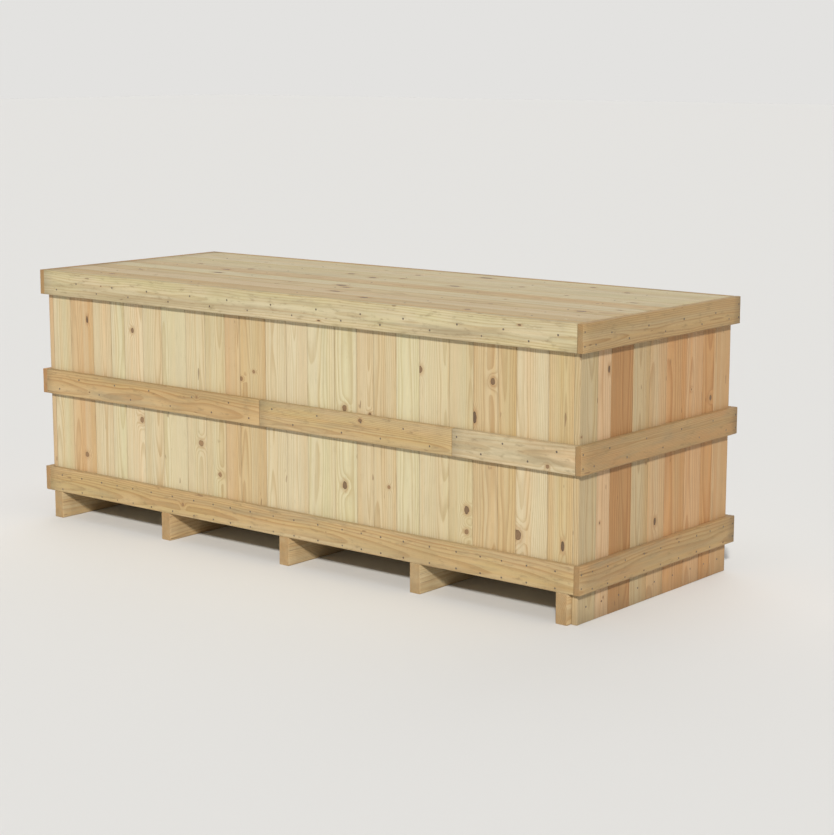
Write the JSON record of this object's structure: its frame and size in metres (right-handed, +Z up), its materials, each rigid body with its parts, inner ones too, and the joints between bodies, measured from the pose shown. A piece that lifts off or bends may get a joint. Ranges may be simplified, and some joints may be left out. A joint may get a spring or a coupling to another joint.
{
  "type": "shipping crate",
  "caption": "Long nailed crate of upright pine boards with three rails round it, on cross skids that leave fork pockets, with a lid that lifts off.",
  "frame": {"origin": "on the ground under the middle of the crate", "axes": "+X along the long sides, +Y across the crate, parallel to the skids, from the front to the back; +Z up"},
  "size_m": [2.44, 0.91, 0.93],
  "materials": {
    "cladding_pine": "planed pale pine boards, knots and some resin streaks",
    "rail_pine": "rough-sawn pine, slightly weathered, with grey-blue stain",
    "frame_timber": "rough-sawn pine timber",
    "deck_and_lid_pine": "sawn pine boards",
    "nail_steel": "dull bright steel wire nails",
    "screw_steel": "yellow-zinc countersunk wood screws"
  },
  "bodies": {
    "crate": {"back_bottom_rail": "rail_pine", "back_cladding": "cladding_pine", "back_middle_rail_1": "rail_pine", "back_middle_rail_2": "rail_pine", "back_middle_rail_3": "rail_pine", "back_nails": "nail_steel", "back_top_rail": "rail_pine", "corner_post_1": "frame_timber", "corner_post_2": "frame_timber", "corner_post_3": "frame_timber", "corner_post_4": "frame_timber", "deck_board_1": "deck_and_lid_pine", "deck_board_2": "deck_and_lid_pine", "deck_board_3": "deck_and_lid_pine", "deck_board_4": "deck_and_lid_pine", "deck_board_5": "deck_and_lid_pine", "deck_board_6": "deck_and_lid_pine", "deck_board_7": "deck_and_lid_pine", "deck_board_8": "deck_and_lid_pine", "deck_board_9": "deck_and_lid_pine", "deck_nails": "nail_steel", "front_bottom_rail": "rail_pine", "front_cladding": "cladding_pine", "front_middle_rail_1": "rail_pine", "front_middle_rail_2": "rail_pine", "front_middle_rail_3": "rail_pine", "front_nails": "nail_steel", "front_top_rail": "rail_pine", "left_end_bottom_rail": "rail_pine", "left_end_cladding": "cladding_pine", "left_end_middle_rail": "rail_pine", "left_end_nails": "nail_steel", "left_end_top_rail": "rail_pine", "post_nails": "nail_steel", "right_end_bottom_rail": "rail_pine", "right_end_cladding": "cladding_pine", "right_end_middle_rail": "rail_pine", "right_end_nails": "nail_steel", "right_end_top_rail": "rail_pine", "skid_1": "frame_timber", "skid_2": "frame_timber", "skid_3": "frame_timber", "skid_4": "frame_timber", "skid_5": "frame_timber"},
    "lid": {"lid_batten_1": "deck_and_lid_pine", "lid_batten_2": "deck_and_lid_pine", "lid_batten_3": "deck_and_lid_pine", "lid_batten_4": "deck_and_lid_pine", "lid_batten_5": "deck_and_lid_pine", "lid_board_1": "deck_and_lid_pine", "lid_board_2": "deck_and_lid_pine", "lid_board_3": "deck_and_lid_pine", "lid_board_4": "deck_and_lid_pine", "lid_board_5": "deck_and_lid_pine", "lid_board_6": "deck_and_lid_pine", "lid_board_7": "deck_and_lid_pine", "lid_board_8": "deck_and_lid_pine", "lid_board_9": "deck_and_lid_pine", "lid_nails": "nail_steel", "lid_screws": "screw_steel"}
  },
  "joints": [
    {"name": "lid_lift", "type": "slide", "parent": "crate", "child": "lid", "axis": [0, 0, 1], "range_m": [0, 0.9]}
  ]
}
